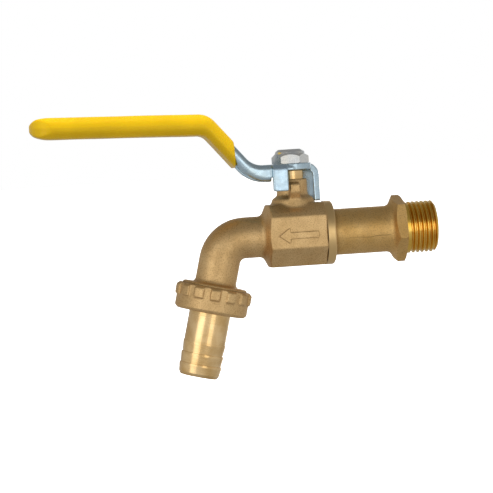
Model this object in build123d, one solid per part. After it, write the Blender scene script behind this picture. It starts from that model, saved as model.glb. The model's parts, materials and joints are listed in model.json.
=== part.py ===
from build123d import *
from build123d.topology.shape_core import SkipClean
import math
import os

# Half-inch brass ball hose bib: a lever-operated ball valve with a screwed inlet and a union hose tail.
# Millimetres and degrees. +X runs along the flow axis to the inlet thread and +Z up the stem.
# The shapes are drawn from the centre of the ball, where the two axes meet. The files are written with the origin
# at the centre of the hex's outer face, where the tap seats on its fitting.
# The valve is drawn open, so the lever lies over the spout, at -X.

# ---- Threads ----
PIPE_PITCH = 25.4 / 14
INLET_CREST_R = 20.955 / 2
INLET_ROOT_R = 18.631 / 2
OUTLET_CREST_R = 26.441 / 2
OUTLET_ROOT_R = 24.117 / 2
THREAD_FLANK_SLOPE = math.tan(math.radians(27.5))
THREAD_RUN_OUT = 1.5
CREST_SECTORS = 6
THREAD_GAP = 0.08

# ---- Waterway ----
BALL_R = 9.5
BALL_BORE_R = 6.0
INLET_BORE_R = 6.0
SPOUT_BORE_R = 5.5
RUNNING_GAP = 0.04
FIT_GAP = 0.05

# ---- Barrel of the body ----
BARREL_HALF_AF = 12.65
BARREL_RIGHT = 11.9
SHOULDER_X = -11.4
SHOULDER_R = 12.3
BARREL_SIDE_TOP = 7.6
BARREL_CHAMFER_Y = 11.3
BARREL_CHAMFER_Z = 9.3
BARREL_TOP_HALF_WIDTH = 7.0
CAVITY_R = 9.9
CAVITY_LEFT = -5.0
BODY_THREAD_R = 10.4
BODY_THREAD_LEFT = 7.0

# ---- Seats ----
SEAT_INNER_R = 6.2
SEAT_OUTER_R = 8.95
SEAT_NEAR_X = 5.7
SEAT_FAR_X = 8.9

# ---- Bonnet, neck and stop lug ----
STEM_R = 4.9
STEM_BORE_R = STEM_R + RUNNING_GAP
STEM_POCKET_R = 6.7
STEM_POCKET_TOP = 12.6
BELL_R = 9.3
NECK_R = 6.25
NECK_TOP = 22.6
LUG_WIDTH = 4.1
LUG_REACH = 10.2
LUG_TOP = 20.9
LUG_STEP = 17.3
LUG_BOTTOM = 14.6

# ---- Spout and outlet ----
SPOUT_R = 8.35
ELBOW_X = -20.7
ELBOW_RADIUS = 10.6
OUTLET_TILT = 14.0
COLLAR_TOP = 10.3
OUTLET_END = 15.3
SPOUT_LEFT = -11.0

# ---- Inlet connector ----
SPIGOT_R = BODY_THREAD_R - FIT_GAP
SPIGOT_LEFT = 7.1
INLET_COLLAR_RIGHT = 15.4
INLET_COLLAR_R = 12.9
INLET_TUBE_R = 9.35
FLARE_LEFT = 38.8
HEX_AF = 24.0
HEX_LEFT = 41.1
HEX_RIGHT = 44.4
HEX_TURN = 16.0
INLET_END = 57.4

# ---- Stem ----
STEM_TANG_BOTTOM = 7.1
STEM_TANG_WIDTH = 3.8
STEM_TANG_LENGTH = 10.0
STEM_DISC_R = 6.6
STEM_DISC_BOTTOM = 9.75
STEM_DISC_TOP = 11.3
SLOT_WIDTH = 4.0
SLOT_BOTTOM = 6.9
LEVER_BOTTOM = 26.0
LEVER_THICKNESS = 2.8
LEVER_TOP = LEVER_BOTTOM + LEVER_THICKNESS
STEM_THREAD_R = 3.98
STEM_FLATS_AF = 6.0
STEM_TOP = 34.2
STEM_RING_CENTRES = (15.6, 19.2)
STEM_RING_GROOVE = 1.5
STEM_RING_THICKNESS = 1.0

# ---- Lever ----
LEVER_SLOPE = 50.0
GRIP_RISE = 1.9
GRIP_TOP_POINT = (-43.5, 49.95)
GRIP_BOTTOM_POINT = (-44.0, 43.3)
SLOPE_TOP_POINT = (-24.5, 39.0)
SLOPE_BOTTOM_POINT = (-25.1, 32.05)
ARM_BOTTOM = 21.8
ARM_START = -9.0
LEVER_TIP = -103.1
LEVER_HALF_WIDTH = 8.6
HUB_R = 8.2
CROWN_R = 2.4
SLEEVE_THICKNESS = 1.0
SLEEVE_START = -23.2
TAB_LEFT = -8.8
TAB_RIGHT = -2.7
TAB_OUTER_Y = -11.4
TAB_BOTTOM = 17.9
SKIRT_OUTER_R = 12.4
SKIRT_BEND_R = 5.5
SKIRT_FROM = 14.0
SKIRT_TO = 64.0
SKIRT_BOTTOM = 13.1

# ---- Lever nut ----
NUT_AF = 13.0
NUT_BOTTOM = LEVER_TOP
NUT_HEX_TOP = 32.7
NUT_TOP = 34.5
NUT_TURN = -8.0
INSERT_OUTER_R = 4.95

# ---- Union: distances below the outlet point, along the outlet axis ----
UNION_TOP = 11.3
UNION_BOTTOM = 21.8
UNION_R = 15.5
UNION_RIM_R = 14.7
UNION_CHAMFER = 1.1
UNION_LIP = 3.0
FLUTE_COUNT = 14
FLUTE_DEPTH = 0.8
FLUTE_WIDTH = 2.9
FLUTE_HEIGHT = 5.0
FLUTE_TURN = 16.0
GASKET_THICKNESS = 1.5
SHANK_R = 8.4
TAIL_R = 8.2
TAIL_BORE_R = 6.0
BARB_R = 8.6
BARB_STARTS = (33.9, 38.6, 42.9)
BARB_LAND = 0.8
TAIL_END = 47.8

ALONG_X = Plane.YZ
TILT = math.radians(OUTLET_TILT)
OUTLET_POINT = Vector(
    ELBOW_X - ELBOW_RADIUS * math.cos(TILT), 0, -ELBOW_RADIUS * (1 - math.sin(TILT))
)
OUTLET_AXIS = Vector(-math.sin(TILT), 0, -math.cos(TILT))
OUTLET = Plane(origin=OUTLET_POINT, x_dir=(0, -1, 0), z_dir=OUTLET_AXIS)
BIG = 60.0


# ---- Shape helpers ----
def rounded(points):
    """A flat face from (x, y) or (x, y, corner radius) points."""
    face = make_face(Polyline([(p[0], p[1]) for p in points], close=True))
    for point in points:
        if len(point) == 3:
            corner = face.vertices().sort_by_distance((point[0], point[1], 0))[0]
            face = fillet(corner, point[2])
    return face


def turned(points):
    """A solid of revolution about local Z from (height, radius) points, each with an optional corner radius."""
    outline = [(p[1], p[0], *p[2:]) for p in points]
    return revolve(Plane.XZ * rounded(outline), Axis.Z)


def rod(radius, start, end):
    """A round bar along local Z."""
    return Pos(0, 0, start) * Cylinder(radius, end - start, align=(Align.CENTER, Align.CENTER, Align.MIN))


def ring(section_radius, centre_radius, height):
    """An O-ring about local Z."""
    return Pos(0, 0, height) * Torus(centre_radius, section_radius)


def slab(x_range, y_range, z_range):
    """A box between two values on each axis."""
    sizes = [high - low for low, high in (x_range, y_range, z_range)]
    return Pos(x_range[0], y_range[0], z_range[0]) * Box(*sizes, align=(Align.MIN, Align.MIN, Align.MIN))


def hexagon(across_flats, start, end, turn=0.0):
    """A hexagonal bar along local Z, with a flat facing local X when it isn't turned."""
    outline = RegularPolygon(across_flats / 2, 6, major_radius=False, rotation=turn)
    return Pos(0, 0, start) * extrude(outline, end - start)


def divided(solid, start, end, radius):
    """The same solid with its wall divided into sectors round local Z, so that a thread's crest is short faces."""
    step = 360 / CREST_SECTORS
    reach = 2 * radius
    far_corner = (reach * math.cos(math.radians(step)), reach * math.sin(math.radians(step)))
    triangle = make_face(Polyline([(0, 0), (reach, 0), far_corner], close=True))
    wedge = Pos(0, 0, start) * extrude(triangle, end - start)
    sectors = [solid & (Rot(0, 0, count * step) * wedge) for count in range(CREST_SECTORS)]
    whole = sectors[0]
    with SkipClean():
        for sector in sectors[1:]:
            whole += sector
    return whole


def threaded_rod(crest, root, thread_start, start, end, chamfer):
    """A round bar along local Z with a helical pipe thread from thread_start out past its chamfered end."""
    root_half_flat = 0.12
    overshoot = 0.2
    depth = crest - root + overshoot
    mouth_half = root_half_flat + depth * THREAD_FLANK_SLOPE
    helix = Pos(0, 0, thread_start) * Helix(PIPE_PITCH, end + PIPE_PITCH - thread_start, root)
    section = Polygon(
        (0, -root_half_flat), (0, root_half_flat), (depth, mouth_half), (depth, -mouth_half), align=None
    )
    first = Plane(origin=helix @ 0, x_dir=(1, 0, 0), z_dir=helix % 0)
    end_form = turned(
        [
            (start, 0),
            (start, crest + 1),
            (end - chamfer - 1, crest + 1),
            (end, crest - chamfer),
            (end, 0),
        ]
    )
    threaded = (rod(crest, start, end) - sweep(first * section, path=helix, is_frenet=True)) & end_form
    return divided(threaded, start, end, crest)


def crossing(point, angle, other_point, other_angle):
    """Where two lines meet, each given by a point and an angle in degrees."""
    rise = math.tan(math.radians(angle))
    other_rise = math.tan(math.radians(other_angle))
    gap = other_point[1] - point[1] + rise * point[0] - other_rise * other_point[0]
    x = gap / (rise - other_rise)
    return x, point[1] + rise * (x - point[0])


def shifted(point, angle, distance):
    """A point moved square to a line of this angle, upwards when the distance is positive."""
    turn = math.radians(angle)
    return point[0] - distance * math.sin(turn), point[1] + distance * math.cos(turn)


# ---- Body ----
def barrel():
    """The eight-sided middle of the body, with its shoulder down to the spout."""
    corner = BARREL_HALF_AF * math.tan(math.radians(22.5))
    half = [
        (corner, -BARREL_HALF_AF),
        (BARREL_HALF_AF, -corner),
        (BARREL_HALF_AF, BARREL_SIDE_TOP),
        (BARREL_CHAMFER_Y, BARREL_CHAMFER_Z),
        (BARREL_TOP_HALF_WIDTH, BARREL_HALF_AF),
    ]
    section = rounded(half + [(-y, z) for y, z in reversed(half)])
    left = SHOULDER_X - 4
    prism = extrude(ALONG_X.offset(left) * section, BARREL_RIGHT - left)
    outer = BARREL_HALF_AF * 1.2
    form = turned(
        [
            (left, 0),
            (left, SPOUT_R),
            (SHOULDER_X - 2.6, SPOUT_R, 1.6),
            (SHOULDER_X - 1.5, SPOUT_R + 0.9, 1.0),
            (SHOULDER_X, SHOULDER_R, 1.0),
            (SHOULDER_X + 1.0, outer),
            (BARREL_RIGHT, outer),
            (BARREL_RIGHT, 0),
        ]
    )
    return prism & (ALONG_X * form)


def bonnet():
    """The bell under the neck, the neck and the lug that stops the lever."""
    neck = turned(
        [
            (0, 0),
            (0, BELL_R),
            (10.4, BELL_R),
            (14.7, BELL_R - 0.9, 1.8),
            (16.0, NECK_R),
            (NECK_TOP, NECK_R, 0.35),
            (NECK_TOP, 0),
        ]
    )
    side = rounded(
        [
            (-NECK_R + 1.5, LUG_BOTTOM),
            (-LUG_REACH + 1.9, LUG_BOTTOM),
            (-LUG_REACH, LUG_STEP, 0.6),
            (-LUG_REACH, LUG_TOP, 0.9),
            (-NECK_R + 1.5, LUG_TOP),
        ]
    )
    lug = extrude(Plane.YZ * side, LUG_WIDTH / 2, both=True)
    return neck + lug


def spout_path(start, extra):
    """The centre line of the spout, from start along -X, round the elbow and down the outlet axis."""
    run_in = Line((start, 0, 0), (ELBOW_X, 0, 0))
    middle = math.radians((90 - OUTLET_TILT) / 2)
    half_way = (
        ELBOW_X - ELBOW_RADIUS * math.sin(middle),
        0,
        -ELBOW_RADIUS * (1 - math.cos(middle)),
    )
    elbow = ThreePointArc((ELBOW_X, 0, 0), half_way, OUTLET_POINT)
    run_out = Line(OUTLET_POINT, OUTLET_POINT + OUTLET_AXIS * extra)
    return Wire([run_in.edge(), elbow.edge(), run_out.edge()])


def spout_sweep(radius, start, extra):
    """A round bar along the spout."""
    circle = Plane(origin=(start, 0, 0), z_dir=(-1, 0, 0)) * Circle(radius)
    return sweep(circle, path=spout_path(start, extra))


def outlet_end():
    """The stepped and threaded end of the spout, in the outlet plane. Its two short turns of thread are plain rings."""
    depth = OUTLET_CREST_R - OUTLET_ROOT_R
    mouth_half = THREAD_FLANK_SLOPE * depth + 0.1
    outline = [
        (COLLAR_TOP - 1.8, 0),
        (COLLAR_TOP - 1.8, SPOUT_R - 0.3),
        (COLLAR_TOP, SPOUT_R + 0.6),
        (COLLAR_TOP, OUTLET_CREST_R - 0.6),
        (COLLAR_TOP + 0.6, OUTLET_CREST_R),
    ]
    for turn in range(2):
        middle = COLLAR_TOP + 2.0 + turn * PIPE_PITCH
        outline += [
            (middle - mouth_half, OUTLET_CREST_R),
            (middle - 0.1, OUTLET_ROOT_R),
            (middle + 0.1, OUTLET_ROOT_R),
            (middle + mouth_half, OUTLET_CREST_R),
        ]
    outline += [(OUTLET_END, OUTLET_CREST_R - 0.3), (OUTLET_END, 0)]
    return turned(outline)


def valve_body():
    solid = barrel() + bonnet() + spout_sweep(SPOUT_R, SPOUT_LEFT, COLLAR_TOP + 0.4)
    solid += OUTLET * outlet_end()
    solid -= spout_sweep(SPOUT_BORE_R, -SEAT_FAR_X + 1, OUTLET_END + 2)
    cavity = turned(
        [
            (-SEAT_FAR_X, 0),
            (-SEAT_FAR_X, SEAT_OUTER_R + FIT_GAP),
            (CAVITY_LEFT, SEAT_OUTER_R + FIT_GAP),
            (CAVITY_LEFT, CAVITY_R),
            (BODY_THREAD_LEFT, CAVITY_R),
            (BODY_THREAD_LEFT, BODY_THREAD_R),
            (BARREL_RIGHT + 1, BODY_THREAD_R),
            (BARREL_RIGHT + 1, 0),
        ]
    )
    solid -= ALONG_X * cavity
    solid -= rod(STEM_POCKET_R, 0, STEM_POCKET_TOP)
    solid -= rod(STEM_BORE_R, 0, NECK_TOP + 1)
    return solid


# ---- Inlet side ----
def inlet_thread():
    """The externally threaded end that screws into the pipe fitting."""
    return threaded_rod(
        INLET_CREST_R, INLET_ROOT_R, HEX_RIGHT + THREAD_RUN_OUT, HEX_RIGHT - 1, INLET_END, 1.0
    )


def inlet_connector():
    ring_groove = (10.0, 11.4)
    outline = [
        (SPIGOT_LEFT, 0),
        (SPIGOT_LEFT, SPIGOT_R - 0.4),
        (SPIGOT_LEFT + 0.4, SPIGOT_R),
        (ring_groove[0], SPIGOT_R),
        (ring_groove[0], SPIGOT_R - 1.15),
        (ring_groove[1], SPIGOT_R - 1.15),
        (ring_groove[1], SPIGOT_R),
        (BARREL_RIGHT, SPIGOT_R),
        (BARREL_RIGHT, INLET_COLLAR_R),
        (INLET_COLLAR_RIGHT, INLET_COLLAR_R, 0.9),
        (INLET_COLLAR_RIGHT, INLET_TUBE_R),
        (FLARE_LEFT, INLET_TUBE_R, 3.0),
        (HEX_LEFT, HEX_AF / math.sqrt(3)),
        (HEX_RIGHT - 0.5, HEX_AF / math.sqrt(3)),
        (HEX_RIGHT, HEX_AF / 2 + 0.7),
        (HEX_RIGHT, 0),
    ]
    solid = turned(outline)
    hex_range = (FLARE_LEFT, HEX_RIGHT)
    solid -= rod(BIG, *hex_range) - hexagon(HEX_AF, *hex_range, HEX_TURN)
    solid -= rod(INLET_BORE_R, 0, HEX_RIGHT + 1)
    solid -= rod(SEAT_OUTER_R + FIT_GAP, 0, SEAT_FAR_X)
    thread = inlet_thread()
    with SkipClean():
        solid += thread - rod(INLET_BORE_R, 0, INLET_END + 1)
    return ALONG_X * solid


def body_seal_ring():
    return ALONG_X * ring(0.55, BODY_THREAD_R - 0.6, 10.7)


def seat(side):
    """A seat ring, on the inlet side when side is 1 and on the outlet side when it is -1."""
    blank = rod(SEAT_OUTER_R, SEAT_NEAR_X, SEAT_FAR_X) - rod(SEAT_INNER_R, 0, BIG)
    blank -= Sphere(BALL_R + 0.03)
    return Plane(origin=(0, 0, 0), x_dir=(0, side, 0), z_dir=(side, 0, 0)) * blank


# ---- Ball and stem ----
def ball():
    solid = Sphere(BALL_R) - ALONG_X * rod(BALL_BORE_R, -BALL_R, BALL_R)
    half = SLOT_WIDTH / 2
    return solid - slab((-half, half), (-BALL_R, BALL_R), (SLOT_BOTTOM, BALL_R))


def double_flats(radius, across, start, end):
    """A round bar along Z with two flats facing X."""
    half = across / 2
    return rod(radius, start, end) & slab((-half, half), (-radius, radius), (start, end))


def stem():
    shaft = turned(
        [
            (STEM_DISC_BOTTOM, 0),
            (STEM_DISC_BOTTOM, STEM_DISC_R),
            (STEM_DISC_TOP, STEM_DISC_R),
            (STEM_DISC_TOP, STEM_R),
            (LEVER_BOTTOM, STEM_R, 0.3),
            (LEVER_BOTTOM, 0),
        ]
    )
    for centre in STEM_RING_CENTRES:
        low, high = centre - STEM_RING_GROOVE / 2, centre + STEM_RING_GROOVE / 2
        shaft -= rod(STEM_R + 1, low, high) - rod(STEM_R - 1, low, high)
    half = STEM_TANG_WIDTH / 2
    reach = STEM_TANG_LENGTH / 2
    tang = slab((-half, half), (-reach, reach), (STEM_TANG_BOTTOM, STEM_DISC_BOTTOM))
    top = double_flats(STEM_THREAD_R, STEM_FLATS_AF, LEVER_BOTTOM, STEM_TOP)
    chamfer_form = turned(
        [
            (LEVER_BOTTOM, 0),
            (LEVER_BOTTOM, STEM_R),
            (STEM_TOP - 1.7, STEM_R),
            (STEM_TOP, STEM_THREAD_R - 0.8),
            (STEM_TOP, 0),
        ]
    )
    return shaft + tang + (top & chamfer_form)


def stem_ring(centre):
    return ring(STEM_RING_THICKNESS / 2, STEM_R - 0.47, centre)


def stem_thrust_washer():
    low, high = STEM_DISC_TOP + 0.03, STEM_POCKET_TOP - 0.03
    return rod(STEM_DISC_R - 0.05, low, high) - rod(STEM_R + FIT_GAP, low, high)


# ---- Lever ----
def lever_side(top_inset, bottom_inset, end_inset, start):
    """The lever seen from the side, with each edge moved inwards by its inset."""
    arm = 180.0
    slope = 180.0 - LEVER_SLOPE
    grip = 180.0 - GRIP_RISE
    arm_top = (0.0, LEVER_TOP - top_inset)
    slope_top = shifted(SLOPE_TOP_POINT, slope, top_inset)
    grip_top = shifted(GRIP_TOP_POINT, grip, top_inset)
    arm_bottom = (0.0, ARM_BOTTOM + bottom_inset)
    slope_bottom = shifted(SLOPE_BOTTOM_POINT, slope, -bottom_inset)
    grip_bottom = shifted(GRIP_BOTTOM_POINT, grip, -bottom_inset)
    tip = (LEVER_TIP + end_inset, 0.0)
    top_end = crossing(tip, 89.9, grip_top, grip)
    bottom_end = crossing(tip, 89.9, grip_bottom, grip)
    return rounded(
        [
            (start, arm_top[1]),
            (*crossing(arm_top, arm, slope_top, slope), 8.0 + top_inset),
            (*crossing(slope_top, slope, grip_top, grip), 8.0 - top_inset),
            (*top_end, 2.5),
            (*bottom_end, 2.0),
            (*crossing(grip_bottom, grip, slope_bottom, slope), 6.0 + bottom_inset),
            (*crossing(slope_bottom, slope, arm_bottom, arm), 14.0 - bottom_inset),
            (start, arm_bottom[1]),
        ]
    )


def lever_form(top_inset, bottom_inset, side_inset, start, crown_radius=0.0):
    """The lever's arm as a solid bar with a round nose, its two long top edges rounded to the crown radius."""
    half_width = LEVER_HALF_WIDTH - side_inset
    face = lever_side(top_inset, bottom_inset, side_inset, start)
    form = extrude(Plane.XZ * face, half_width, both=True)
    if crown_radius:
        form = fillet([edge for edge in form.edges() if is_top_edge(edge)], crown_radius)
    nose = LEVER_TIP + side_inset + half_width
    round_nose = Pos(nose, 0, 0) * rod(half_width, 0, BIG)
    return form & (round_nose + slab((nose, 1), (-BIG, BIG), (0, BIG)))


def is_top_edge(edge):
    """An edge along either long side of the lever, on its upper surface."""
    middle = edge.position_at(0.5)
    along_the_side = abs(edge.position_at(0).Y - edge.position_at(1).Y) < 0.01
    short_of_tip = middle.X > LEVER_TIP + 4
    return along_the_side and short_of_tip and middle.Z > centre_height(middle.X)


def centre_height(x):
    """The height half way between the lever's top and its bottom."""
    slope_middle = [(a + b) / 2 for a, b in zip(SLOPE_TOP_POINT, SLOPE_BOTTOM_POINT)]
    grip_middle = [(a + b) / 2 for a, b in zip(GRIP_TOP_POINT, GRIP_BOTTOM_POINT)]
    arm = (LEVER_TOP + ARM_BOTTOM) / 2
    slope = slope_middle[1] + (slope_middle[0] - x) * math.tan(math.radians(LEVER_SLOPE))
    grip = grip_middle[1] + (grip_middle[0] - x) * math.tan(math.radians(GRIP_RISE))
    return min(max(arm, slope), grip)


def lever_tab():
    """The flat tab that meets the lug when the valve is open."""
    face = rounded(
        [
            (TAB_LEFT, TAB_BOTTOM, 1.0),
            (TAB_RIGHT, TAB_BOTTOM, 0.6),
            (TAB_RIGHT, LEVER_TOP),
            (TAB_LEFT, LEVER_TOP),
        ]
    )
    slab_solid = extrude(Plane.XZ.offset(-TAB_OUTER_Y - LEVER_THICKNESS) * face, LEVER_THICKNESS)
    root = slab(
        (TAB_LEFT, TAB_RIGHT), (TAB_OUTER_Y + LEVER_THICKNESS, 0), (LEVER_BOTTOM, LEVER_TOP)
    )
    solid = slab_solid + root
    bend = solid.edges().filter_by(Axis.X).sort_by_distance((TAB_LEFT, TAB_OUTER_Y, LEVER_TOP))[0]
    return fillet(bend, LEVER_THICKNESS)


def lever_skirt():
    """The curved skirt that meets the lug when the valve is closed."""
    inner = SKIRT_OUTER_R - LEVER_THICKNESS
    root = HUB_R - 3
    section = rounded(
        [
            (root, LEVER_BOTTOM),
            (inner, LEVER_BOTTOM, SKIRT_BEND_R - LEVER_THICKNESS),
            (inner, SKIRT_BOTTOM),
            (SKIRT_OUTER_R, SKIRT_BOTTOM),
            (SKIRT_OUTER_R, LEVER_TOP, SKIRT_BEND_R),
            (root, LEVER_TOP),
        ]
    )
    arc = revolve(Plane.XZ * section, Axis.Z, SKIRT_TO - SKIRT_FROM)
    solid = Rot(0, 0, SKIRT_FROM) * arc
    return solid


def stem_hole():
    return double_flats(STEM_THREAD_R + FIT_GAP, STEM_FLATS_AF + 2 * FIT_GAP, LEVER_BOTTOM - 1, LEVER_TOP + 1)


def lever_plate():
    outer = lever_form(0, 0, 0, 0, CROWN_R)
    hollow = lever_form(LEVER_THICKNESS, -2, LEVER_THICKNESS, ARM_START)
    under_hub = slab((ARM_START, 1), (-BIG, BIG), (0, LEVER_BOTTOM))
    hub = rod(HUB_R, LEVER_BOTTOM, LEVER_TOP)
    solid = outer - hollow - under_hub + hub + lever_tab() + lever_skirt()
    return solid - stem_hole()


def lever_sleeve():
    thick = SLEEVE_THICKNESS
    outer = lever_form(-thick, -thick, -thick, 0, CROWN_R + thick)
    inner = lever_form(-0.02, -0.02, -0.02, 0, CROWN_R)
    return outer - inner - slab((SLEEVE_START, BIG), (-BIG, BIG), (0, BIG))


# ---- Lever nut ----
def lever_nut():
    corner = NUT_AF / math.sqrt(3)
    form = turned(
        [
            (NUT_BOTTOM, 0),
            (NUT_BOTTOM, corner - 0.4),
            (NUT_BOTTOM + 0.3, corner + 0.1),
            (NUT_HEX_TOP - 1.3, corner + 0.1),
            (NUT_HEX_TOP, NUT_AF / 2 - 0.35),
            (NUT_TOP - 0.8, 5.8, 0.5),
            (NUT_TOP, 4.7),
            (NUT_TOP, 0),
        ]
    )
    solid = form & hexagon(NUT_AF, NUT_BOTTOM, NUT_TOP, NUT_TURN)
    solid -= rod(STEM_THREAD_R + FIT_GAP, NUT_BOTTOM, NUT_TOP)
    return solid - rod(INSERT_OUTER_R, 32.6, NUT_TOP - 0.5)


def lever_nut_insert():
    low, high = 32.65, NUT_TOP - 0.55
    return rod(INSERT_OUTER_R - 0.03, low, high) - rod(STEM_THREAD_R + 0.03, low, high)


# ---- Union and hose tail, in the outlet plane ----
def hose_nut():
    bore = OUTLET_CREST_R + THREAD_GAP
    floor = UNION_BOTTOM - UNION_LIP
    blank = turned(
        [
            (UNION_TOP, bore + 0.5),
            (UNION_TOP, UNION_R - UNION_CHAMFER),
            (UNION_TOP + UNION_CHAMFER, UNION_R, 0.5),
            (UNION_TOP + FLUTE_HEIGHT, UNION_R, 0.3),
            (UNION_TOP + FLUTE_HEIGHT, UNION_RIM_R),
            (UNION_BOTTOM - UNION_CHAMFER, UNION_RIM_R, 0.5),
            (UNION_BOTTOM, UNION_RIM_R - UNION_CHAMFER),
            (UNION_BOTTOM, SHANK_R + 0.3),
            (floor, SHANK_R + 0.3),
            (floor, bore),
            (UNION_TOP + 0.5, bore),
        ]
    )
    for count in range(FLUTE_COUNT):
        flute = slab(
            (UNION_R - FLUTE_DEPTH, UNION_R + 2),
            (-FLUTE_WIDTH / 2, FLUTE_WIDTH / 2),
            (UNION_TOP - 1, UNION_TOP + FLUTE_HEIGHT),
        )
        blank -= Rot(0, 0, FLUTE_TURN + count * 360 / FLUTE_COUNT) * flute
    return OUTLET * blank


def hose_gasket():
    low, high = OUTLET_END + 0.03, OUTLET_END + GASKET_THICKNESS
    return OUTLET * (rod(OUTLET_CREST_R - 0.4, low, high) - rod(TAIL_BORE_R + 0.5, low, high))


def hose_tail():
    flange_bottom = UNION_BOTTOM - UNION_LIP - 0.02
    outline = [
        (OUTLET_END + GASKET_THICKNESS, 0),
        (OUTLET_END + GASKET_THICKNESS, OUTLET_CREST_R - 0.3),
        (flange_bottom, OUTLET_CREST_R - 0.3),
        (flange_bottom, SHANK_R),
        (BARB_STARTS[0], SHANK_R),
    ]
    ends = (*BARB_STARTS[1:], TAIL_END - 1.2)
    for start, end in zip(BARB_STARTS, ends):
        outline += [(start, BARB_R), (start + BARB_LAND, BARB_R), (end, TAIL_R)]
    outline += [(TAIL_END, TAIL_R - 0.7), (TAIL_END, 0)]
    return OUTLET * (turned(outline) - rod(TAIL_BORE_R, 0, BIG))


PARTS = {
    "valve_body": valve_body,
    "inlet_connector": inlet_connector,
    "body_seal_ring": body_seal_ring,
    "inlet_seat": lambda: seat(1),
    "outlet_seat": lambda: seat(-1),
    "ball": ball,
    "stem": stem,
    "stem_thrust_washer": stem_thrust_washer,
    "stem_ring_lower": lambda: stem_ring(STEM_RING_CENTRES[0]),
    "stem_ring_upper": lambda: stem_ring(STEM_RING_CENTRES[1]),
    "lever_plate": lever_plate,
    "lever_sleeve": lever_sleeve,
    "lever_nut": lever_nut,
    "lever_nut_insert": lever_nut_insert,
    "hose_gasket": hose_gasket,
    "hose_nut": hose_nut,
    "hose_tail": hose_tail,
}

os.makedirs("parts", exist_ok=True)
for name, build in PARTS.items():
    solid = Pos(-HEX_RIGHT, 0, 0) * build()
    print(name, len(solid.solids()), round(solid.volume, 1))
    export_step(solid, f"parts/{name}.step")
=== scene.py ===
import json
import math

import bmesh
import bpy
from mathutils import Matrix, Vector, noise


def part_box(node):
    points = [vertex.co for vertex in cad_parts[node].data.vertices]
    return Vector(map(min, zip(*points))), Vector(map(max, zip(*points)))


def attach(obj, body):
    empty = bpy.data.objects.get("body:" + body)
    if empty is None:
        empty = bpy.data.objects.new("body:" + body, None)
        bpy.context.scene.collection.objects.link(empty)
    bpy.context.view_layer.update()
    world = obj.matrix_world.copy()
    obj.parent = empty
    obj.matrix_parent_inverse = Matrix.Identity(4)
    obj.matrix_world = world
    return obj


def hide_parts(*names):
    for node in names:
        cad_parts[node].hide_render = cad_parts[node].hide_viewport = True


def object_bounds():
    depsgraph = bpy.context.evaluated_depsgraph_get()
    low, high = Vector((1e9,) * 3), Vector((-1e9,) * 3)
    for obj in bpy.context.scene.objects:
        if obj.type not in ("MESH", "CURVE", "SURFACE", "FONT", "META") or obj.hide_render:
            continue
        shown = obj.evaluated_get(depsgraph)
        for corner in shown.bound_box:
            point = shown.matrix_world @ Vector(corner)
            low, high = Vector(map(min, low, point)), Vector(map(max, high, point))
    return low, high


# Half-inch brass ball hose bib: materials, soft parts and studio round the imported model.
# Metres. +X runs along the flow axis to the inlet thread and +Z up the stem.
# The origin is the centre of the hex's outer face.

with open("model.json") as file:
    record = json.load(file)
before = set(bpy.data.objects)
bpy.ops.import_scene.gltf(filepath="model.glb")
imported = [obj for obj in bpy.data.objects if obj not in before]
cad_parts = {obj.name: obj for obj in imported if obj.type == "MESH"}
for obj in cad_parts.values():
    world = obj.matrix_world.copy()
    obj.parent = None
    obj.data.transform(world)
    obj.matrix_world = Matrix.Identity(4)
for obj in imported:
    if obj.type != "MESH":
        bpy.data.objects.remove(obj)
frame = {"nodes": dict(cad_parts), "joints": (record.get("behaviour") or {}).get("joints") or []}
bpy.context.view_layer.update()
CAD_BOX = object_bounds()
NODES = frame["nodes"]
JOINTS = {joint["name"]: joint for joint in frame["joints"]}

MM = 0.001
STEM_POINT = Vector(JOINTS["lever_turn"]["pos_m"])
OUTLET_AXIS = Vector(JOINTS["union_turn"]["axis"]).normalized()
UNION_DROP = JOINTS["union_drop"]["range_m"][1]
BARREL_END_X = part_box("valve_body")[1].x
BARREL_FRONT_Y = -12.65 * MM
COLLAR_LENGTH = 3.5 * MM
COLLAR_END_X = BARREL_END_X + COLLAR_LENGTH
HEX_FACE_X = 0.0
WHITE = (1.0, 1.0, 1.0)


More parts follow.
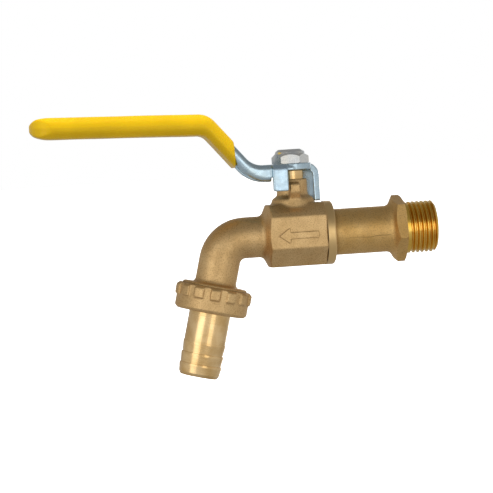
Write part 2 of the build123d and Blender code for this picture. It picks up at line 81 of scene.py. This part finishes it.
# ---- Node graphs ----
class Graph:
    """A node tree, with short calls for the nodes that the materials and the world share."""

    def __init__(self, owner, coordinates="Object"):
        owner.use_nodes = True
        self.material = owner
        self.tree = owner.node_tree
        self.shader = self.tree.nodes.get("Principled BSDF")
        self.place = self.tree.nodes.new("ShaderNodeTexCoord").outputs[coordinates]

    def add(self, kind, inputs, **settings):
        """A new node with these settings. An input takes a value or another node's output."""
        node = self.tree.nodes.new(kind)
        for key, value in settings.items():
            setattr(node, key, value)
        for key, value in inputs.items():
            self.feed(node.inputs[key], value)
        return node

    def feed(self, socket, value):
        if isinstance(value, bpy.types.NodeSocket):
            self.tree.links.new(value, socket)
        else:
            socket.default_value = value

    def set(self, **inputs):
        """Sets inputs of the surface shader, with _ for each space in an input's name."""
        for key, value in inputs.items():
            self.feed(self.shader.inputs[key.replace("_", " ")], value)

    def noise(self, size, detail=3.0, density=(1, 1, 1)):
        """Noise from 0 to 1 with features about this size, which are longer along an axis of low density."""
        place = self.add("ShaderNodeMapping", {"Vector": self.place, "Scale": density}).outputs[0]
        inputs = {"Vector": place, "Scale": 1 / size, "Detail": detail}
        return self.add("ShaderNodeTexNoise", inputs).outputs["Fac"]

    def along(self, axis):
        """The distance along an axis through the origin."""
        inputs = {0: self.place, 1: axis}
        return self.add("ShaderNodeVectorMath", inputs, operation="DOT_PRODUCT").outputs["Value"]

    def rings(self, axis, size, detail=4.0):
        """Lathe lines: noise that only changes along the axis."""
        inputs = {"W": self.along(axis), "Scale": 1 / size, "Detail": detail}
        return self.add("ShaderNodeTexNoise", inputs, noise_dimensions="1D").outputs["Fac"]

    def ranged(self, value, low, high, to_low=0.0, to_high=1.0):
        """Maps low..high to to_low..to_high, and keeps to that range outside it."""
        inputs = {0: value, 1: low, 2: high, 3: to_low, 4: to_high}
        return self.add("ShaderNodeMapRange", inputs).outputs[0]

    def varied(self, noise_value, low, high):
        """A number that varies from low to high with noise, which mostly lies between 0.3 and 0.7."""
        return self.ranged(noise_value, 0.3, 0.7, low, high)

    def cloud(self, size, detail=3.0):
        """A mask of soft clouds about this size, from 0 to 1."""
        return self.ranged(self.noise(size, detail), 0.35, 0.65)

    def math(self, operation, first, second=0.0):
        return self.add("ShaderNodeMath", {0: first, 1: second}, operation=operation).outputs[0]

    def mix(self, share, first, second):
        """A colour between two colours."""
        inputs = {0: share, 6: self.colour(first), 7: self.colour(second)}
        return self.add("ShaderNodeMix", inputs, data_type="RGBA").outputs[2]

    def blend(self, share, first, second):
        """A number between two numbers."""
        return self.add("ShaderNodeMix", {0: share, 2: first, 3: second}).outputs[0]

    def mix_normals(self, share, first, second):
        """A direction between two directions."""
        inputs = {0: share, 4: first, 5: second}
        return self.add("ShaderNodeMix", inputs, data_type="VECTOR").outputs[1]

    @staticmethod
    def colour(value):
        return (*value, 1.0) if isinstance(value, tuple) and len(value) == 3 else value

    def bump(self, height, distance, strength=1.0, under=None):
        inputs = {"Height": height, "Distance": distance, "Strength": strength}
        if under is not None:
            inputs["Normal"] = under
        return self.add("ShaderNodeBump", inputs).outputs[0]


# ---- Materials ----
FORGED_TONE = (0.78, 0.54, 0.26)
FORGED_DEEP = (0.68, 0.45, 0.20)
GRAIN_SHADE = (0.38, 0.22, 0.08)
CORNER_SHADE = (0.26, 0.15, 0.05)
CORNER_REACH = 3 * MM
TURNED_TONE = (0.86, 0.61, 0.31)
TURNED_DEEP = (0.68, 0.44, 0.18)
LATHE_PITCH = 0.5 * MM
TUBE_TONE = (0.78, 0.52, 0.21)
TUBE_DEEP = (0.68, 0.42, 0.14)
THREAD_TONE = (0.86, 0.57, 0.14)
THREAD_DEEP = (0.72, 0.42, 0.06)
COLLAR_TONE = (0.74, 0.51, 0.23)
PARTING_SHADE = (0.22, 0.12, 0.04)
PARTING_LOW_Z = -2.8 * MM
PARTING_HIGH_Z = -1.8 * MM
PARTING_STRONG_X = HEX_FACE_X - 12 * MM
PARTING_FADE_X = HEX_FACE_X - 8 * MM
PARTING_END_X = HEX_FACE_X - 6 * MM
ZINC_TONE = (0.47, 0.61, 0.71)
NUT_ZINC_TONE = (0.74, 0.77, 0.78)
ZINC_WARMTH = (1.2, 1.12, 1.0)
ZINC_DULLNESS = 0.6
VINYL_TONE = (0.76, 0.47, 0.001)
VINYL_DEEP = (0.68, 0.42, 0.001)
VINYL_SPECK = (0.52, 0.32, 0.01)
VINYL_GLOSS = (1.0, 0.85, 0.4, 1.0)
NITRILE_TONE = (0.03, 0.03, 0.032)
NYLON_TONE = (0.72, 0.76, 0.80)
PTFE_TONE = (0.86, 0.86, 0.84)
CHROME_TONE = (0.78, 0.79, 0.80)
MOULDED_DULLNESS = 0.8


def forged_look(graph, tone=FORGED_TONE, deep=FORGED_DEEP):
    """Colour, roughness and grain of shot-blasted forged brass, with painted shade that darkens its corners.
    """
    blotches = graph.ranged(graph.noise(9 * MM, 4), 0.35, 0.7)
    grain = graph.noise(0.45 * MM, 3)
    colour = graph.mix(blotches, deep, tone)
    colour = graph.mix(graph.ranged(grain, 0.48, 0.68, 0.0, 0.55), colour, GRAIN_SHADE)
    # Painted shade: the colour darkens towards CORNER_SHADE in corners and crevices, where ambient occlusion
    # finds them.
    openness = graph.add("ShaderNodeAmbientOcclusion", {"Distance": CORNER_REACH}, samples=8).outputs["AO"]
    colour = graph.mix(graph.ranged(openness, 0.35, 0.9, 0.85, 0.0), colour, CORNER_SHADE)
    roughness = graph.varied(graph.noise(4 * MM), 0.46, 0.58)
    dimples = graph.bump(graph.noise(1.0 * MM, 2), 0.07 * MM, 0.6)
    return colour, roughness, graph.bump(grain, 0.06 * MM, 0.7, dimples)


def turned_look(graph, axis, tone=TURNED_TONE, deep=TURNED_DEEP):
    """Colour, roughness and lathe lines of turned brass."""
    lines = graph.rings(axis, LATHE_PITCH)
    colour = graph.mix(graph.cloud(6 * MM), tone, deep)
    colour = graph.mix(graph.ranged(lines, 0.55, 0.8, 0.0, 0.3), colour, deep)
    roughness = graph.varied(lines, 0.17, 0.28)
    return colour, roughness, graph.bump(lines, 0.01 * MM, 0.4)


def forged_brass():
    graph = Graph(bpy.data.materials.new("forged_brass_look"))
    colour, roughness, normal = forged_look(graph)
    graph.set(Base_Color=colour, Metallic=1.0, Roughness=roughness, Normal=normal)
    return graph.material


def turned_brass(name, axis):
    graph = Graph(bpy.data.materials.new(name))
    colour, roughness, normal = turned_look(graph, axis)
    graph.set(Base_Color=colour, Metallic=1.0, Roughness=roughness, Normal=normal)
    return graph.material


def parting_line(graph):
    """A mask for the fine line that the forging dies left along the tube, strongest near the hex."""
    wander = graph.varied(graph.noise(9 * MM, 2), PARTING_LOW_Z, PARTING_HIGH_Z)
    offset = graph.math("ABSOLUTE", graph.math("SUBTRACT", graph.along((0, 0, 1)), wander))
    line = graph.ranged(offset, 0.04 * MM, 0.22 * MM, 1.0, 0.0)
    x = graph.along((1, 0, 0))
    near_hex = graph.ranged(x, COLLAR_END_X, PARTING_STRONG_X, 0.1, 0.7)
    short_of_hex = graph.ranged(x, PARTING_FADE_X, PARTING_END_X, 1.0, 0.0)
    return graph.math("MULTIPLY", line, graph.math("MULTIPLY", near_hex, short_of_hex))


def connector_brass():
    """Turned collar and thread, with a blasted tube and hex between them."""
    graph = Graph(bpy.data.materials.new("connector_brass_look"))
    x = graph.along((1, 0, 0))
    edge = 0.1 * MM
    collar = graph.ranged(x, COLLAR_END_X - edge, COLLAR_END_X + edge, 1.0, 0.0)
    thread = graph.ranged(x, HEX_FACE_X - edge, HEX_FACE_X + edge)
    machined = graph.math("MAXIMUM", collar, thread)
    collar_roughness = graph.varied(graph.noise(3 * MM), 0.36, 0.46)
    tube_colour, tube_roughness, tube_normal = forged_look(graph, TUBE_TONE, TUBE_DEEP)
    tube_colour = graph.mix(parting_line(graph), tube_colour, PARTING_SHADE)
    thread_look = turned_look(graph, (1, 0, 0), THREAD_TONE, THREAD_DEEP)
    thread_colour, thread_roughness, thread_normal = thread_look
    machined_colour = graph.mix(collar, thread_colour, COLLAR_TONE)
    blasted_or_thread = graph.blend(thread, tube_roughness, thread_roughness)
    graph.set(
        Base_Color=graph.mix(machined, tube_colour, machined_colour),
        Metallic=1.0,
        Roughness=graph.blend(collar, blasted_or_thread, collar_roughness),
        Normal=graph.mix_normals(machined, tube_normal, thread_normal),
    )
    return graph.material


def zinc_plate(name, tone, rough_low, rough_high):
    """Blue passivated zinc over steel, with rolling marks along the lever."""
    graph = Graph(bpy.data.materials.new(name))
    cloud = graph.ranged(graph.noise(5 * MM, 4), 0.35, 0.68)
    marks = graph.noise(0.5 * MM, 4, density=(0.12, 1, 1))
    warm = tuple(channel * share for channel, share in zip(tone, ZINC_WARMTH))
    dull = tuple(channel * ZINC_DULLNESS for channel in tone)
    colour = graph.mix(cloud, tone, warm)
    colour = graph.mix(graph.ranged(marks, 0.55, 0.75, 0.0, 0.5), colour, dull)
    roughness = graph.varied(graph.noise(2 * MM, 4), rough_low, rough_high)
    dents = graph.bump(graph.noise(1.6 * MM), 0.09 * MM, 0.6)
    normal = graph.bump(marks, 0.03 * MM, 0.5, dents)
    graph.set(Base_Color=colour, Metallic=1.0, Roughness=roughness, Normal=normal)
    return graph.material


def dipped_vinyl():
    """Soft glossy vinyl, a little uneven from dipping."""
    graph = Graph(bpy.data.materials.new("yellow_vinyl_look"))
    colour = graph.mix(graph.cloud(14 * MM), VINYL_TONE, VINYL_DEEP)
    specks = graph.ranged(graph.noise(0.8 * MM, 2), 0.66, 0.8, 0.0, 0.35)
    colour = graph.mix(specks, colour, VINYL_SPECK)
    roughness = graph.varied(graph.noise(3 * MM), 0.3, 0.42)
    waves = graph.bump(graph.noise(7 * MM, 2), 0.25 * MM, 0.35)
    normal = graph.bump(graph.noise(0.6 * MM, 2), 0.02 * MM, 0.4, waves)
    graph.set(Base_Color=colour, Roughness=roughness, Normal=normal)
    graph.set(Specular_IOR_Level=0.45, Specular_Tint=VINYL_GLOSS)
    graph.set(Subsurface_Weight=0.15, Subsurface_Radius=(1.0, 0.6, 0.1), Subsurface_Scale=1 * MM)
    return graph.material


def moulded(name, tone, rough_low, rough_high, metallic=0.0):
    """A plain moulded or plated finish: slight clouding and fine grain."""
    graph = Graph(bpy.data.materials.new(name))
    dull = tuple(channel * MOULDED_DULLNESS for channel in tone)
    colour = graph.mix(graph.cloud(3 * MM), tone, dull)
    roughness = graph.varied(graph.noise(1.5 * MM), rough_low, rough_high)
    normal = graph.bump(graph.noise(0.3 * MM, 2), 0.01 * MM, 0.4)
    graph.set(Base_Color=colour, Metallic=metallic, Roughness=roughness, Normal=normal)
    return graph.material


def paint(material, *names):
    """Gives the material to every slot of these CAD nodes."""
    for name in names:
        piece = NODES[name]
        for material_slot in piece.material_slots:
            material_slot.link = "OBJECT"
            material_slot.material = material


# ---- Shapes ----
MERGE_DISTANCE = 0.001 * MM
FORGED_WAVE_SIZE = 3 * MM
SLEEVE_LOW, SLEEVE_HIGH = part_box("lever_sleeve")
GRIP_ANGLE = math.radians(1.9)
SLOPE_ANGLE = math.radians(50)
SLOPE_TOP = STEM_POINT + Vector((-24.5, 0, 40.6)) * MM
CROWN_DEPTH = 4.2 * MM
CROWN_TAPER = 0.12
NOSE_LENGTH = 8 * MM
NOSE_DEPTH = 4 * MM
NOSE_SQUEEZE = 0.75
WAVE_SIZE = 11 * MM
WAVE_DIP = 0.1 * MM
WAVE_THINNING = 0.02
ARROW_RELIEF = 0.45 * MM
ARROW_HALF_LENGTH = 8 * MM
ARROW_HEAD_LENGTH = 4.5 * MM
ARROW_HALF_HEAD = 3.2 * MM
ARROW_HALF_SHAFT = 1.3 * MM


def soften(piece, voxel, passes, waviness=0.0):
    """Modifiers that round a piece's edges over several passes and can make its faces a little uneven."""
    weld = piece.modifiers.new("weld", "WELD")
    weld.merge_threshold = MERGE_DISTANCE
    remesh = piece.modifiers.new("even_mesh", "REMESH")
    remesh.mode = "VOXEL"
    remesh.voxel_size = voxel
    remesh.use_smooth_shade = True
    smooth = piece.modifiers.new("soft_edges", "SMOOTH")
    smooth.factor = 0.5
    smooth.iterations = passes
    if waviness:
        texture = bpy.data.textures.new(piece.name + "_waves", "CLOUDS")
        texture.noise_scale = FORGED_WAVE_SIZE
        displace = piece.modifiers.new("uneven_faces", "DISPLACE")
        displace.texture = texture
        displace.texture_coords = "LOCAL"
        displace.strength = waviness
        displace.mid_level = 1.0


def final_mesh(piece):
    """Applies a new piece's modifiers."""
    depsgraph = bpy.context.evaluated_depsgraph_get()
    mesh = bpy.data.meshes.new_from_object(piece.evaluated_get(depsgraph))
    piece.modifiers.clear()
    piece.data = mesh


def new_piece(name, mesh, material, body):
    """A piece that moves with a body and takes its finish from a slot."""
    mesh.materials.clear()
    mesh.materials.append(material)
    piece = bpy.data.objects.new(name, mesh)
    bpy.context.scene.collection.objects.link(piece)
    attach(piece, body)
    return piece


def depth_in_sleeve(point):
    """How far a point lies under the sleeve's top, which runs along the grip and then down the slope."""
    grip_top = SLEEVE_HIGH.z - (point.x - SLEEVE_LOW.x) * math.tan(GRIP_ANGLE)
    slope_top = SLOPE_TOP.z - (point.x - SLOPE_TOP.x) * math.tan(SLOPE_ANGLE)
    return min(grip_top - point.z, (slope_top - point.z) * math.cos(SLOPE_ANGLE))


def narrow_crown(point):
    """Draws the sleeve's sides in towards its top, which leaves a crease along the middle of each side."""
    share = min(max(1 - depth_in_sleeve(point) / CROWN_DEPTH, 0.0), 1.0)
    point.y *= 1 - CROWN_TAPER * share


def draw_in_nose(point):
    """Brings the sleeve's closed end together in a rounded nose."""
    middle_z = SLEEVE_HIGH.z - NOSE_DEPTH
    reach = (SLEEVE_LOW.x + NOSE_LENGTH - point.x) / NOSE_LENGTH
    reach = min(max(reach, 0.0), 1.0)
    point.z = middle_z + (point.z - middle_z) * math.sqrt(1 - NOSE_SQUEEZE * reach * reach)


def make_uneven(point):
    """Thins and lowers the sleeve a little in slow waves, as dipped vinyl is."""
    wave = 1 + noise.noise(point / WAVE_SIZE)
    point.y *= 1 - WAVE_THINNING * wave
    point.z -= WAVE_DIP * wave


def vinyl_sleeve(material):
    """The dipped grip: the sleeve's solid, remeshed, with a narrow crown, a rounded nose and slow waves."""
    mesh = NODES["lever_sleeve"].data.copy()
    piece = new_piece("grip_sleeve", mesh, material, "lever")
    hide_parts("lever_sleeve")
    soften(piece, 0.4 * MM, 6)
    bpy.context.view_layer.update()
    final_mesh(piece)
    for vertex in piece.data.vertices:
        narrow_crown(vertex.co)
        draw_in_nose(vertex.co)
        make_uneven(vertex.co)


def flow_arrow(material):
    """A raised arrow cast on the front of the barrel, pointing from the inlet to the spout."""
    neck = ARROW_HEAD_LENGTH - ARROW_HALF_LENGTH
    outline = [
        (-ARROW_HALF_LENGTH, 0),
        (neck, ARROW_HALF_HEAD),
        (neck, ARROW_HALF_SHAFT),
        (ARROW_HALF_LENGTH, ARROW_HALF_SHAFT),
        (ARROW_HALF_LENGTH, -ARROW_HALF_SHAFT),
        (neck, -ARROW_HALF_SHAFT),
        (neck, -ARROW_HALF_HEAD),
    ]
    inner_y = BARREL_FRONT_Y + ARROW_RELIEF
    form = bmesh.new()
    corners = [form.verts.new((STEM_POINT.x + x, inner_y, z)) for x, z in outline]
    sides = bmesh.ops.extrude_face_region(form, geom=[form.faces.new(corners)])
    raised = [part for part in sides["geom"] if isinstance(part, bmesh.types.BMVert)]
    bmesh.ops.translate(form, verts=raised, vec=(0, -2 * ARROW_RELIEF, 0))
    bmesh.ops.recalc_face_normals(form, faces=form.faces)
    mesh = bpy.data.meshes.new("flow_arrow")
    form.to_mesh(mesh)
    form.free()
    piece = new_piece("flow_arrow", mesh, material, "body")
    soften(piece, 0.15 * MM, 5)


# ---- Studio ----
CAMERA_AZIMUTH = math.radians(-7.0)
CAMERA_ELEVATION = math.radians(2.0)
OBJECT_ROLL = math.radians(3.5)
CAMERA_LENS = 160.0
SENSOR_WIDTH = 36.0
FRAME_WIDTH = 199.3 * MM
STEM_RIGHT_OF_MIDDLE = 19.46 * MM
STEM_ABOVE_MIDDLE = 4.82 * MM
CAMERA_CLIP = 0.01
LAMP_DISTANCE = 0.8
FLOOR_HALF_WIDTH = 30.0
FLOOR_SHADE = (0.90, 0.90, 0.90)
FLOOR_TONE = (0.94, 0.94, 0.94)
FRONT_WALL = (0.80, 0.80, 0.80)
BACK_WALL = (0.46, 0.46, 0.46)
ROOM_FLOOR = (0.42, 0.42, 0.42)
CEILING = (0.27, 0.27, 0.27)
MATT_ROOM = (0.66, 0.66, 0.66)
MATT_CEILING = (0.88, 0.88, 0.88)


def facing(right, up, back, place):
    """A matrix for a camera or lamp at a place, which looks along -back."""
    turn = Matrix((right, up, back)).transposed().to_4x4()
    return Matrix.Translation(place) @ turn


def add_camera():
    """A long lens a little left of the front and a little above, rolled so that the tube climbs slightly."""
    level = math.cos(CAMERA_ELEVATION)
    level_right = Vector((math.cos(CAMERA_AZIMUTH), math.sin(CAMERA_AZIMUTH), 0))
    back_x = math.sin(CAMERA_AZIMUTH) * level
    back_y = -math.cos(CAMERA_AZIMUTH) * level
    back = Vector((back_x, back_y, math.sin(CAMERA_ELEVATION)))
    level_up = back.cross(level_right)
    right = level_right * math.cos(OBJECT_ROLL) - level_up * math.sin(OBJECT_ROLL)
    up = level_right * math.sin(OBJECT_ROLL) + level_up * math.cos(OBJECT_ROLL)
    data = bpy.data.cameras.new("camera")
    data.lens = CAMERA_LENS
    data.sensor_width = SENSOR_WIDTH
    data.clip_start = CAMERA_CLIP
    camera = bpy.data.objects.new("camera", data)
    bpy.context.scene.collection.objects.link(camera)
    aim = STEM_POINT - right * STEM_RIGHT_OF_MIDDLE - up * STEM_ABOVE_MIDDLE
    distance = FRAME_WIDTH * CAMERA_LENS / SENSOR_WIDTH
    camera.matrix_world = facing(right, up, back, aim + back * distance)
    bpy.context.scene.camera = camera


def add_lamp(name, azimuth, elevation, width, height, brightness, lights_metal=True):
    """A soft box facing the object from an azimuth and elevation in degrees.

    Either metal reflects it or matt surfaces are lit by it, but not both.
    """
    azimuth, elevation = math.radians(azimuth), math.radians(elevation)
    back = Vector((math.sin(azimuth), -math.cos(azimuth), math.tan(elevation))).normalized()
    right = Vector((0, 0, 1)).cross(back).normalized()
    data = bpy.data.lights.new(name, "AREA")
    data.shape = "RECTANGLE"
    data.size = width
    data.size_y = height
    data.energy = brightness * math.pi * width * height
    lamp = bpy.data.objects.new(name, data)
    bpy.context.scene.collection.objects.link(lamp)
    lamp.visible_glossy = lights_metal
    lamp.visible_diffuse = not lights_metal
    middle = (CAD_BOX[0] + CAD_BOX[1]) / 2
    lamp.matrix_world = facing(right, back.cross(right), back, middle + back * LAMP_DISTANCE)


def add_world():
    """White behind the object, a room that metal reflects, and a softer one that lights matt surfaces."""
    world = bpy.data.worlds.new("studio")
    bpy.context.scene.world = world
    graph = Graph(world, "Generated")
    up = graph.along((0, 0, 1))
    front = graph.along((0, -1, 0))
    overhead = graph.ranged(up, 0.1, 0.6)
    below = graph.ranged(up, -0.1, -0.8)
    level = graph.mix(graph.ranged(front, -1.0, 1.0), BACK_WALL, FRONT_WALL)
    room = graph.mix(overhead, graph.mix(below, level, ROOM_FLOOR), CEILING)
    rays = graph.add("ShaderNodeLightPath", {}).outputs
    on_matt = graph.mix(overhead, MATT_ROOM, MATT_CEILING)
    lit = graph.mix(rays["Is Diffuse Ray"], room, on_matt)
    background = graph.tree.nodes["Background"]
    graph.feed(background.inputs["Color"], graph.mix(rays["Is Camera Ray"], lit, WHITE))


def add_floor():
    """A plain pale floor just under the hose tail when it is unscrewed. Its glow doesn't reach the object."""
    half = FLOOR_HALF_WIDTH
    low = CAD_BOX[0].z - UNION_DROP
    corners = [(-half, -half, low), (half, -half, low), (half, half, low), (-half, half, low)]
    mesh = bpy.data.meshes.new("floor")
    mesh.from_pydata(corners, [], [(0, 1, 2, 3)])
    floor = bpy.data.objects.new("floor", mesh)
    bpy.context.scene.collection.objects.link(floor)
    graph = Graph(bpy.data.materials.new("floor_look"))
    colour = graph.mix(graph.noise(0.4, 2), FLOOR_SHADE, FLOOR_TONE)
    graph.set(Base_Color=colour, Roughness=0.9, Emission_Color=(*WHITE, 1.0), Emission_Strength=1.0)
    mesh.materials.append(graph.material)
    floor.visible_glossy = False
    floor.visible_diffuse = False


def add_studio():
    add_camera()
    add_world()
    add_floor()
    add_lamp("key", -45, 6, 0.5, 0.6, 1.05)
    add_lamp("fill", 15, 2, 0.35, 0.5, 0.9)
    add_lamp("rim", 160, 5, 0.4, 0.7, 0.8)
    add_lamp("top", -10, 75, 0.6, 0.4, 8.0, lights_metal=False)
    bpy.context.scene.view_settings.view_transform = "Standard"


# ---- The object ----
def dress():
    """Gives every CAD piece its material, softens the forged and stamped ones and adds the new pieces."""
    brass = forged_brass()
    zinc = zinc_plate("zinc_look", ZINC_TONE, 0.2, 0.38)
    nut_zinc = zinc_plate("nut_zinc_look", NUT_ZINC_TONE, 0.16, 0.28)
    nitrile = moulded("nitrile_look", NITRILE_TONE, 0.5, 0.7)
    nylon = moulded("nylon_look", NYLON_TONE, 0.35, 0.5)
    ptfe = moulded("ptfe_look", PTFE_TONE, 0.4, 0.55)
    chrome = moulded("chrome_look", CHROME_TONE, 0.05, 0.12, 1.0)
    paint(brass, "valve_body", "hose_nut")
    paint(connector_brass(), "inlet_connector")
    paint(turned_brass("stem_brass_look", (0, 0, 1)), "stem")
    paint(turned_brass("tail_brass_look", OUTLET_AXIS), "hose_tail")
    paint(zinc, "lever_plate")
    paint(nut_zinc, "lever_nut")
    paint(nylon, "lever_nut_insert")
    paint(ptfe, "inlet_seat", "outlet_seat", "stem_thrust_washer")
    paint(chrome, "ball")
    paint(nitrile, "body_seal_ring", "stem_ring_lower", "stem_ring_upper", "hose_gasket")
    soften(NODES["valve_body"], 0.4 * MM, 10, 0.06 * MM)
    soften(NODES["hose_nut"], 0.32 * MM, 3, 0.06 * MM)
    soften(NODES["lever_plate"], 0.32 * MM, 4, 0.04 * MM)
    flow_arrow(brass)
    vinyl_sleeve(dipped_vinyl())


dress()
add_studio()

bpy.context.view_layer.update()
